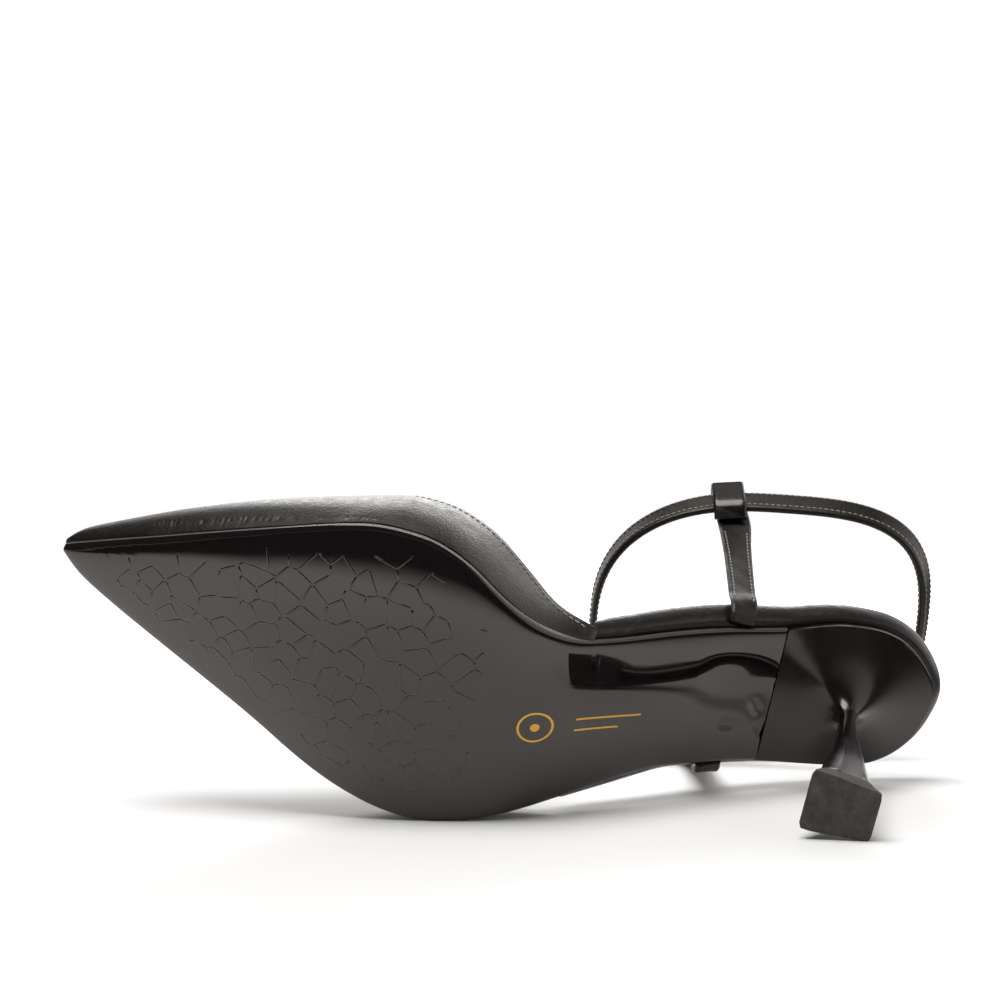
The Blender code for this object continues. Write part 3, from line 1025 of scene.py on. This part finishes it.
def press(piece: Piece, creases: list[Crease]) -> None:
    """Press creases into a piece along its normals. The tapered ones fade at both ends.

    Args:
        piece: A fine mesh.
        creases: Troughs and ridges in the shoe frame.
    """
    spots, normals = read_points(piece), read_points(piece, "normal")
    shoe = LIE.to_shoe(spots)
    depth = np.zeros(len(spots))
    for crease in creases:
        start, along = np.array(crease.start), np.array(crease.end) - np.array(crease.start)
        share = np.clip((shoe - start) @ along / float(along @ along), 0.0, 1.0)
        gap = np.linalg.norm(shoe - start - share[:, None] * along, axis=1)
        fade = np.sin(math.pi * share) if crease.tapered else 1.0
        depth += crease.depth_mm * np.exp(-((gap / crease.width_mm) ** 2)) * fade
    write_points(piece, spots - normals * depth[:, None] * MM)


def drift(piece: Piece, way: Point, share: Callable[[np.ndarray], np.ndarray]) -> None:
    """Move a piece's points along one direction.

    Args:
        piece: The mesh.
        way: How far and where, in the shoe frame.
        share: Gives the share of the way for points of the shoe frame.
    """
    spots = read_points(piece)
    write_points(piece, spots + share(LIE.to_shoe(spots))[:, None] * LIE.turn(way) * MM)


@dataclass(frozen=True)
class Outsole(Assembly):
    """Outsole with the crackle emboss on its forepart and a foil ornament at the waist."""

    polish: Polish = Polish(crisp_deg=40.0, crease=0.8, levels=3)
    painted_edge_lean: float = 0.45
    crackle: Crackle = Crackle()
    mark: FoilMark = FoilMark()
    creases: tuple[Crease, ...] = (
        Crease((103.0, 36.0, 9.0), (99.0, -26.0, 10.0), 9.0, -1.0),
        Crease((91.6, 18.0, 18.8), (90.4, 3.0, 19.0), 0.8, 0.1),
        Crease((100.0, 4.0, 10.5), (60.0, 3.5, 44.5), 6.0, -0.55),
        Crease((66.0, 6.0, 40.0), (46.0, 6.0, 57.0), 6.0, 0.5),
        Crease((56.4, -9.0, 48.8), (54.2, -9.4, 50.6), 2.0, 0.6, tapered=False),
        Crease((49.4, -2.6, 53.8), (48.2, -5.0, 54.8), 1.7, 0.5, tapered=False),
        Crease((46.4, -10.6, 56.6), (45.6, -12.6, 57.6), 1.8, 0.45, tapered=False),
    )

    def build(self) -> None:
        """Model and dress the sole and what lies on it."""
        sole = self.refined("outsole", "outsole_skin", self.polish)
        press(sole, list(self.creases))
        up = LIE.turn(UP)
        # The side wall takes the pale edge finish: partly its own waxed tone, partly painted highlight
        two_tone(
            sole,
            (SOLE_FINISH, EDGE_PAINTED_HIGHLIGHT_FINISH),
            lambda face: abs(np.array(face.normal) @ up) < self.painted_edge_lean,
        )
        settle(sole, SOLE_FINISH, Slot.SOLE, "outsole")
        settle(self.crackle.build(sole), SOLE_FINISH, Slot.SOLE)
        settle(self.mark.build(sole), FOIL_FINISH)


@dataclass(frozen=True)
class Gathers:
    """Row of small creases across an edge, at heights given by a short table."""

    x_mm: tuple[float, ...]
    z_mm: tuple[float, ...]
    pitch_mm: Span
    half_mm: float
    slant: float
    width_mm: float
    depth_mm: Span
    seed: int
    half_share: Span = (0.7, 1.2)
    slant_shake: float = 0.25
    start_y: float = 90.0
    reach_mm: float = 120.0

    def inner_side(self, surface: BVHTree, x: float, z: float) -> Point | None:
        """Place on the inner side of a piece, at a length and a height of the shoe frame.

        Args:
            surface: Search tree of the piece.
            x: Distance from the back of the heel.
            z: Height.

        Returns:
            The place in the shoe frame, or None where the piece has none.
        """
        start = Vector(LIE.to_world((x, self.start_y, z)))
        way = Vector(LIE.turn((0.0, -1.0, 0.0)))
        spot, _, _, _ = surface.ray_cast(start, way, self.reach_mm * MM)
        return None if spot is None else tuple(LIE.to_shoe(spot))

    def creases(self, surface: BVHTree) -> list[Crease]:
        """The creases on the inner side of a piece.

        Args:
            surface: Search tree of the piece.

        Returns:
            Those that lie on the piece.
        """
        draw = random.Random(self.seed)
        made, x = [], self.x_mm[0]
        while x < self.x_mm[-1]:
            z = float(np.interp(x, self.x_mm, self.z_mm))
            half = self.half_mm * draw.uniform(*self.half_share)
            lean = half * (self.slant + draw.uniform(-self.slant_shake, self.slant_shake))
            ends = [self.inner_side(surface, x + k * lean, z + k * half) for k in (-1, 1)]
            depth = draw.uniform(*self.depth_mm)
            if None not in ends:
                made.append(Crease(ends[0], ends[1], self.width_mm, depth))
            x += draw.uniform(*self.pitch_mm)
        return made


@dataclass(frozen=True)
class Insole(Assembly):
    """Leather-covered insole with its wrapped rim."""

    polish: Polish = Polish(crisp_deg=60.0, levels=3)
    gathers: tuple[Gathers, ...] = (
        Gathers(
            x_mm=(53.0, 69.3, 91.0),
            z_mm=(57.5, 45.9, 23.0),
            pitch_mm=(1.6, 3.4),
            half_mm=3.2,
            slant=0.0,
            width_mm=0.6,
            depth_mm=(0.05, 0.14),
            seed=3,
        ),
        Gathers(
            x_mm=(26.0, 29.7, 51.5),
            z_mm=(72.5, 71.6, 60.4),
            pitch_mm=(1.2, 2.6),
            half_mm=3.0,
            slant=0.9,
            width_mm=0.6,
            depth_mm=(0.05, 0.14),
            seed=5,
        ),
    )

    def build(self) -> None:
        """Model and dress the covered insole, with the gathers of its wrapped leather."""
        rim = self.refined("insole", "insole_cover", self.polish)
        surface = surface_of(rim)
        press(rim, [crease for row in self.gathers for crease in row.creases(surface)])
        settle(rim, RIM_FINISH, Slot.LEATHER, "insole")


@dataclass(frozen=True)
class Vamp(Assembly):
    """Vamp with a folded and stitched topline."""

    polish: Polish = Polish(crisp_deg=50.0, crease=0.6)
    gathers: Gathers = Gathers(
        x_mm=(150.0, 180.0, 195.0, 205.0, 216.0),
        z_mm=(6.9, 7.0, 8.0, 8.9, 10.6),
        pitch_mm=(0.8, 2.4),
        half_mm=1.3,
        slant=0.3,
        width_mm=0.5,
        depth_mm=(0.02, 0.17),
        seed=9,
    )
    strip_mm: float = 4.5
    strip_cuts: int = 5
    stitch_inset_mm: float = 2.0
    opening_centre: Point = (70.0, 0.0, 95.0)
    last_x: float = 97.0
    straight: float = 0.5
    tuck_x: Span = (92.0, 101.0)
    tuck_mm: float = 3.2

    def arm(
        self, points: dict[int, Vector], along: dict[int, list[int]], throat: int, first: int
    ) -> list[Vector]:
        """One half of the topline, followed straight on from the throat.

        Args:
            points: Places by point number.
            along: Neighbours of each point along crisp edges.
            throat: The point to start from.
            first: The point after it.

        Returns:
            The places after the throat.
        """
        made, before, here = [], throat, first
        while True:
            made.append(points[here])
            ahead = [k for k in along[here] if k != before]
            if LIE.to_shoe(points[here])[0] < self.last_x or not ahead:
                return made
            way = (points[here] - points[before]).normalized()
            turn = {k: way.dot((points[k] - points[here]).normalized()) for k in ahead}
            best = max(turn, key=turn.get)
            if turn[best] < self.straight:
                return made
            before, here = here, best

    def topline(self) -> list[Vector]:
        """Outer edge of the topline, from one waist over the throat to the other.

        Returns:
            Its points in the world frame.
        """
        rough = self.merged("upper", "upper_rough")
        shape = bmesh.new()
        shape.from_mesh(rough.data)
        bpy.data.objects.remove(rough, do_unlink=True)
        crisp = math.radians(self.polish.crisp_deg)
        along: dict[int, list[int]] = {}
        for edge in shape.edges:
            if edge.is_manifold and edge.calc_face_angle() > crisp:
                a, b = (v.index for v in edge.verts)
                along.setdefault(a, []).append(b)
                along.setdefault(b, []).append(a)
        points = {v.index: v.co.copy() for v in shape.verts}
        shape.free()
        heights = {k: LIE.to_shoe(points[k])[2] for k in along}
        throat = max(heights, key=heights.get)
        starts = sorted(along[throat][:2], key=lambda k: LIE.to_shoe(points[k])[1], reverse=True)
        arms = [self.arm(points, along, throat, first) for first in starts]
        return arms[0][::-1] + [points[throat]] + arms[1]

    def finer_strip(self, skin: Piece) -> None:
        """Make the leather finer along the feather edge, where the gathers are small.

        Args:
            skin: The vamp's leather.
        """
        first, last = self.gathers.x_mm[0], self.gathers.x_mm[-1]
        medial = Vector(LIE.turn((0.0, 1.0, 0.0)))
        with edit_mode(skin):
            bpy.ops.mesh.select_mode(type="FACE")
            bpy.ops.mesh.select_all(action="DESELECT")
            shape = bmesh.from_edit_mesh(skin.data)
            for face in shape.faces:
                x, y, z = LIE.to_shoe(face.calc_center_median())
                row = float(np.interp(x, self.gathers.x_mm, self.gathers.z_mm))
                outside = y > 0.0 and face.normal.dot(medial) > 0.0
                face.select = bool(first < x < last and outside and abs(z - row) < self.strip_mm)
            bmesh.update_edit_mesh(skin.data)
            bpy.ops.mesh.subdivide(number_cuts=self.strip_cuts, smoothness=0.0)

    def tucked(self, shoe: np.ndarray) -> np.ndarray:
        """Share of the tuck at the inner end of the vamp, for points of the shoe frame."""
        return np.interp(shoe[:, 0], self.tuck_x, (1.0, 0.0)) * (shoe[:, 1] > 0.0)

    def stitches(self, surface: BVHTree, edge: list[Vector]) -> list[Matrix]:
        """Places of the stitches below the topline.

        Args:
            surface: Search tree of the leather.
            edge: Points along the topline, a stitch apart.

        Returns:
            The stitches' matrices.
        """
        centre = Vector(LIE.to_world(self.opening_centre))
        places = []
        for before, here, after in zip(edge, edge[1:], edge[2:]):
            ahead = (after - before).normalized()
            away = here - centre
            away = (away - ahead * away.dot(ahead)).normalized()
            spot, _, _, _ = surface.find_nearest(here + away * self.stitch_inset_mm * MM)
            down = (spot - here).normalized()
            places.append(STITCHING.place(surface, here + down * self.stitch_inset_mm * MM, ahead))
        return [place for place in places if place is not None]

    def build(self) -> None:
        """Model and dress the vamp and its topline stitches."""
        skin = self.refined("upper", "vamp_leather", self.polish)
        self.finer_strip(skin)
        press(skin, self.gathers.creases(surface_of(skin)))
        drift(skin, (-self.tuck_mm, 0.0, 0.0), self.tucked)
        settle(skin, LEATHER_FINISH, Slot.LEATHER, "upper")
        edge = resample(self.topline(), STITCHING.pitch_mm * MM)
        STITCHING.sew("topline_stitches", self.stitches(surface_of(skin), edge))


@dataclass(frozen=True)
class Heel(Assembly):
    """Lacquered heel with its rubber lift."""

    polish: Polish = Polish(crisp_deg=48.0, crease=0.8)
    lift_polish: Polish = Polish(crisp_deg=30.0, levels=0)
    rim_deg: float = 30.0
    flare_z: float = 36.0
    flare_lean: float = 0.15
    flare_factor: float = 0.5
    flare_turns: int = 140

    def smooth_flare(self, heel: Piece) -> None:
        """Even out the flare between the stem and the edge of the seat.

        Args:
            heel: The heel's block.
        """
        down = Vector(LIE.turn((0.0, 0.0, -1.0)))
        with edit_mode(heel):
            bpy.ops.mesh.select_mode(type="VERT")
            bpy.ops.mesh.select_all(action="DESELECT")
            shape = bmesh.from_edit_mesh(heel.data)
            crisp = [e for e in shape.edges if e.calc_face_angle(0.0) > math.radians(self.rim_deg)]
            rim = {v for e in crisp for v in e.verts}
            for vert in shape.verts:
                high = LIE.to_shoe(vert.co)[2] > self.flare_z
                faces_down = vert.normal.dot(down) > self.flare_lean
                vert.select = bool(high and faces_down and vert not in rim)
            shape.select_flush_mode()
            bmesh.update_edit_mesh(heel.data)
            bpy.ops.mesh.vertices_smooth(factor=self.flare_factor, repeat=self.flare_turns)

    def build(self) -> None:
        """Model and dress the heel and the lift."""
        heel = self.refined("heel", "heel_block", self.polish)
        self.smooth_flare(heel)
        settle(heel, HEEL_FINISH, Slot.HEEL, "heel")
        lift = self.refined("top_piece", "heel_lift", self.lift_polish)
        settle(lift, LIFT_FINISH, Slot.RUBBER, "top_piece")


@dataclass(frozen=True)
class AnkleStrap(Assembly):
    """Ring of leather round the ankle, lined inside, with a stitch row along each edge."""

    polish: Polish = Polish(crisp_deg=35.0, crease=0.5, levels=3)
    lining_lean: float = -0.45
    row_inset_mm: float = 1.6
    cuts: int = 180

    def stitch_lines(self, triangles: np.ndarray, centre: np.ndarray) -> list[list[Vector]]:
        """Closed lines of the stitch rows, two inside and two outside.

        Args:
            triangles: Corner points of the ring.
            centre: Its middle.

        Returns:
            Points along each row.
        """
        corners = triangles.reshape(-1, 3)
        _, _, ways = np.linalg.svd(corners - corners.mean(axis=0), full_matrices=False)
        axis = ways[2]
        cuts = []
        for angle in np.linspace(0.0, 2 * math.pi, self.cuts + 1)[:-1]:
            way = ways[0] * math.cos(angle) + ways[1] * math.sin(angle)
            cuts.append(cut_band(triangles, centre, np.cross(axis, way), way))
        lines = []
        for face, row in product((-1, 1), (-1, 1)):
            line = []
            for cut in cuts:
                across = cut.across if cut.across @ axis > 0 else -cut.across
                out = cut.middle - centre
                out = out - axis * float(out @ axis)
                out /= np.linalg.norm(out)
                inset = 0.5 * cut.width - self.row_inset_mm * MM
                line.append(Vector(cut.middle + across * row * inset + out * face * 0.5 * cut.thick))
            lines.append(line + [line[0]])
        return lines

    def build(self) -> None:
        """Model and dress the ring and its stitches."""
        band = self.refined("ankle_strap", "ankle_band", self.polish)
        triangles = triangles_of(self.frame["nodes"]["ankle_strap"])
        corners = triangles.reshape(-1, 3)
        centre = 0.5 * (corners.min(axis=0) + corners.max(axis=0))
        surface = surface_of(band)

        def is_lining(face: bpy.types.MeshPolygon) -> bool:
            """Whether a face looks to the middle of the ring."""
            out = np.array(face.center) - centre
            return np.array(face.normal) @ out / np.linalg.norm(out) < self.lining_lean

        two_tone(band, (LEATHER_FINISH, LINING_FINISH), is_lining)
        settle(band, LEATHER_FINISH, Slot.LEATHER, "ankle_strap")
        rows = [STITCHING.row(surface, line) for line in self.stitch_lines(triangles, centre)]
        STITCHING.sew("ankle_stitches", sum(rows, []))


@dataclass(frozen=True)
class SideStrap(Assembly):
    """Strap from the rim to the ankle ring, folded over it into a glossy loop."""

    side: Side
    polish: Polish = Polish(crisp_deg=35.0, crease=0.5, levels=3)
    loop_z: float = 97.5
    rows_z: Span = (58.0, 95.0)
    row_inset_mm: float = 1.35
    cuts: int = 40
    foot_x: Span = (54.7, 60.9)
    tuck_mm: float = 2.4
    tuck_fade_mm: float = 4.0

    def tuck(self, band: Piece, way: float) -> None:
        """Draw the front corner of the foot in to the joint between rim and sole.

        Args:
            band: The strap's leather.
            way: One on the inner side of the foot, minus one on the outer side.
        """
        low = min(way * float(LIE.to_shoe(v.co)[1]) for v in band.data.vertices)
        fade = (low, low + self.tuck_fade_mm)
        drift(
            band,
            (0.0, -way * self.tuck_mm, 0.0),
            lambda shoe: np.interp(shoe[:, 0], self.foot_x, (0.0, 1.0))
            * np.interp(way * shoe[:, 1], fade, (1.0, 0.0)),
        )

    def stitch_lines(self, triangles: np.ndarray, way: float) -> list[list[Vector]]:
        """Lines of the two stitch rows on the outer face.

        Args:
            triangles: Corner points of the strap.
            way: One on the inner side of the foot, minus one on the outer side.

        Returns:
            Points along each row.
        """
        outwards, ahead = LIE.turn((0.0, way, 0.0)), LIE.turn((1.0, 0.0, 0.0))
        rows: dict[int, list[Vector]] = {-1: [], 1: []}
        for z in np.linspace(*self.rows_z, self.cuts):
            cut = cut_band(triangles, LIE.to_world((0.0, 0.0, z)), LIE.turn(UP), None)
            if cut is None:
                continue
            across = cut.across if cut.across @ ahead > 0 else -cut.across
            out = cut.out if cut.out @ outwards > 0 else -cut.out
            for row, line in rows.items():
                inset = row * (0.5 * cut.width - self.row_inset_mm * MM)
                line.append(Vector(cut.middle + across * inset + out * 0.5 * cut.thick))
        return list(rows.values())

    def build(self) -> None:
        """Model and dress the strap and its two stitch rows."""
        node = f"side_strap_{self.side.value}"
        band = self.refined(node, f"{self.side.value}_strap_leather", self.polish)
        way = 1.0 if self.side is Side.MEDIAL else -1.0
        self.tuck(band, way)
        two_tone(
            band,
            (STRAP_FINISH, LOOP_FINISH),
            lambda face: LIE.to_shoe(face.center)[2] > self.loop_z,
        )
        settle(band, STRAP_FINISH, Slot.LEATHER, node)
        surface = surface_of(band)
        lines = self.stitch_lines(triangles_of(self.frame["nodes"][node]), way)
        rows = [STITCHING.row(surface, line) for line in lines]
        STITCHING.sew(f"{self.side.value}_strap_stitches", sum(rows, []))


@dataclass(frozen=True)
class Buckle(Assembly):
    """Small plated buckle on the outer side of the ankle ring."""

    polish: Polish = Polish(crisp_deg=70.0, levels=1)

    def build(self) -> None:
        """Model and dress the buckle's frame and prong."""
        for node, name in (("buckle_frame", "buckle_bow"), ("buckle_prong", "buckle_pin")):
            settle(self.refined(node, name, self.polish), BUCKLE_FINISH, Slot.METAL, node)


@dataclass(frozen=True)
class SoftBox:
    """Rectangular soft box that looks at a point of the set."""

    name: str
    at_m: Point
    size_m: Span
    watts: float
    aim_m: Point = (0.0, -0.05, 0.03)

    def build(self) -> None:
        """Hang the box and turn it to its aim."""
        light = bpy.data.lights.new(self.name, "AREA")
        light.shape = "RECTANGLE"
        light.size, light.size_y = self.size_m
        light.energy = self.watts
        lamp = bpy.data.objects.new(self.name, light)
        lamp.location = self.at_m
        way = Vector(self.aim_m) - Vector(self.at_m)
        lamp.rotation_euler = way.to_track_quat("-Z", "Y").to_euler()
        bpy.context.scene.collection.objects.link(lamp)


@dataclass(frozen=True)
class PaperWithPaintedGlow(Finish):
    """Pale paper sweep with painted light: an emission glow, though it is no lamp, that grows brighter
    towards the lit wall behind the set.
    """

    glow_m: Span = (0.05, 0.42)
    glow: float = 0.95

    def surface(self, canvas: Canvas) -> None:
        """Painted glow, an emission that rises with the distance behind the shoe.

        Args:
            canvas: The material under way.
        """
        split = add_node(canvas.tree, "ShaderNodeSeparateXYZ", None, {0: canvas.place})
        canvas.shader.inputs["Emission Color"].default_value = WHITE
        rise = ramp(canvas.tree, split.outputs["Y"], self.glow_m, (0.0, self.glow))
        canvas.feed("Emission Strength", rise)


@dataclass(frozen=True)
class SoftCard(Finish):
    """Dark card that thins out towards its edge, so that its mirror image ends softly."""

    edge_m: Span = (0.0155, -0.17)
    turn_deg: float = 25.0
    soft_m: float = 0.05

    def surface(self, canvas: Canvas) -> None:
        """Alpha that falls to nothing at the edge.

        Args:
            canvas: The material under way.
        """
        turn = math.radians(self.turn_deg)
        edge = {"operation": "SUBTRACT", 1: (*self.edge_m, 0.0)}
        gap = add_node(canvas.tree, "ShaderNodeVectorMath", edge, {0: canvas.place})
        away = {"operation": "DOT_PRODUCT", 1: (-math.sin(turn), math.cos(turn), 0.0)}
        far = add_node(canvas.tree, "ShaderNodeVectorMath", away, {0: gap.outputs[0]})
        cover = ramp(canvas.tree, far.outputs["Value"], (-self.soft_m, 0.0), (1.0, 0.0))
        canvas.feed("Alpha", cover)


@dataclass(frozen=True)
class Studio:
    """Pale floor, dark cards, soft boxes above and behind, a pale surround and the camera."""

    floor_m: float = 12.0
    # Pale paper with a painted glow that rises behind the shoe
    paper: Finish = PaperWithPaintedGlow("pale_paper_painted_glow", "#f6f5f3", 0.9, ior=1.2)
    cards: tuple[SoftCard, ...] = (
        SoftCard("front_card", "#0c0c0c", 0.9),
        SoftCard("side_card", "#0c0c0c", 0.9, edge_m=(0.13, 0.0), turn_deg=90.0, soft_m=0.1),
    )
    card_size_m: Span = (4.0, 1.5)
    card_step_mm: float = 0.5
    camera_mm: Point = (107.422, -396.290, 76.269)
    camera_deg: Point = (91.286, 1.218, 16.161)
    lens_mm: float = 50.177
    sensor_mm: float = 36.0
    clip_m: float = 0.01
    boxes: tuple[SoftBox, ...] = (
        SoftBox("key_box", (-0.04, -0.35, 0.95), (0.7, 0.5), 9.0),
        SoftBox("strip_box", (-0.2, 1.0, 0.76), (1.0, 0.4), 6.5),
    )
    wall: float = 1.3
    wall_y: Span = (0.25, 0.7)
    wall_z: Span = (0.66, 0.86)
    dim_sky: float = 0.06
    top_sky: float = 0.75
    top_z: Span = (0.88, 0.97)
    right_sky: float = 0.9
    right_x: Span = (0.6, 0.95)

    def floor(self) -> None:
        """Pale floor under the shoe, with the painted glow of its paper."""
        bpy.ops.object.select_all(action="DESELECT")
        bpy.ops.mesh.primitive_plane_add(size=self.floor_m)
        floor = bpy.context.object
        floor.name = "floor"
        floor.data.materials.append(self.paper.material())

    def dark_card(self, finish: SoftCard, lift_mm: float) -> None:
        """Dark card on the floor, hidden from the camera, that only the gloss mirrors.

        Args:
            finish: Where the card's edge lies, and its look.
            lift_mm: Height over the floor.
        """
        bpy.ops.object.select_all(action="DESELECT")
        bpy.ops.mesh.primitive_plane_add(size=1.0)
        card = bpy.context.object
        card.name = finish.name
        wide, deep = self.card_size_m
        card.data.transform(Matrix.Diagonal((wide, deep, 1.0, 1.0)))
        card.data.transform(Matrix.Translation((0.0, -0.5 * deep, 0.0)))
        card.data.transform(Matrix.Rotation(math.radians(finish.turn_deg), 4, "Z"))
        card.data.transform(Matrix.Translation((*finish.edge_m, lift_mm * MM)))
        card.data.materials.append(finish.material())
        card.visible_camera = card.visible_shadow = card.visible_diffuse = False

    def surround(self) -> None:
        """Surround: white to the camera, and to all else a lit wall, a pale right side and top."""
        world = bpy.data.worlds.new("surround")
        world.use_nodes = True
        bpy.context.scene.world = world
        tree = world.node_tree
        tree.nodes.clear()
        way = add_node(tree, "ShaderNodeTexCoord").outputs["Generated"]
        x, y, z = add_node(tree, "ShaderNodeSeparateXYZ", None, {0: way}).outputs
        behind = ramp(tree, y, self.wall_y, (0.0, self.wall))
        below = ramp(tree, z, self.wall_z, (1.0, 0.0))
        above = ramp(tree, z, self.top_z, (self.dim_sky, self.top_sky))
        right = ramp(tree, x, self.right_x, (self.dim_sky, self.right_sky))
        back = combine(tree, "MULTIPLY", behind, below)
        level = combine(tree, "MAXIMUM", back, combine(tree, "MAXIMUM", above, right))
        sky = add_node(tree, "ShaderNodeBackground", {"Color": WHITE}, {"Strength": level})
        wall = add_node(tree, "ShaderNodeBackground", {"Color": WHITE, "Strength": 1.0})
        seen = add_node(tree, "ShaderNodeLightPath").outputs["Is Camera Ray"]
        parts = {0: seen, 1: sky.outputs[0], 2: wall.outputs[0]}
        mix = add_node(tree, "ShaderNodeMixShader", None, parts)
        add_node(tree, "ShaderNodeOutputWorld", None, {0: mix.outputs[0]})

    def camera(self) -> None:
        """The camera that took the photograph's view."""
        data = bpy.data.cameras.new("camera")
        data.lens = self.lens_mm
        data.sensor_width = self.sensor_mm
        data.clip_start = self.clip_m
        camera = bpy.data.objects.new("camera", data)
        camera.location = Vector(self.camera_mm) * MM
        camera.rotation_euler = [math.radians(a) for a in self.camera_deg]
        bpy.context.scene.collection.objects.link(camera)
        bpy.context.scene.camera = camera
        bpy.context.scene.view_settings.view_transform = "Standard"

    def build(self) -> None:
        """Set the camera, the floor, the cards and the light."""
        self.camera()
        self.floor()
        for number, finish in enumerate(self.cards, start=1):
            self.dark_card(finish, self.card_step_mm * number)
        self.surround()
        for box in self.boxes:
            box.build()


def main() -> None:
    """Build the pump piece by piece and set the studio."""
    logging.basicConfig(level=logging.INFO, format="%(name)s %(message)s")
    for item in list(bpy.data.objects):
        bpy.data.objects.remove(item, do_unlink=True)
    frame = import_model()
    Studio().build()
    for assembly in (Outsole, Insole, Vamp, Heel, AnkleStrap):
        assembly(frame).build()
    for side in Side:
        SideStrap(frame, side).build()
    Buckle(frame).build()


if __name__ == "__main__":
    main()
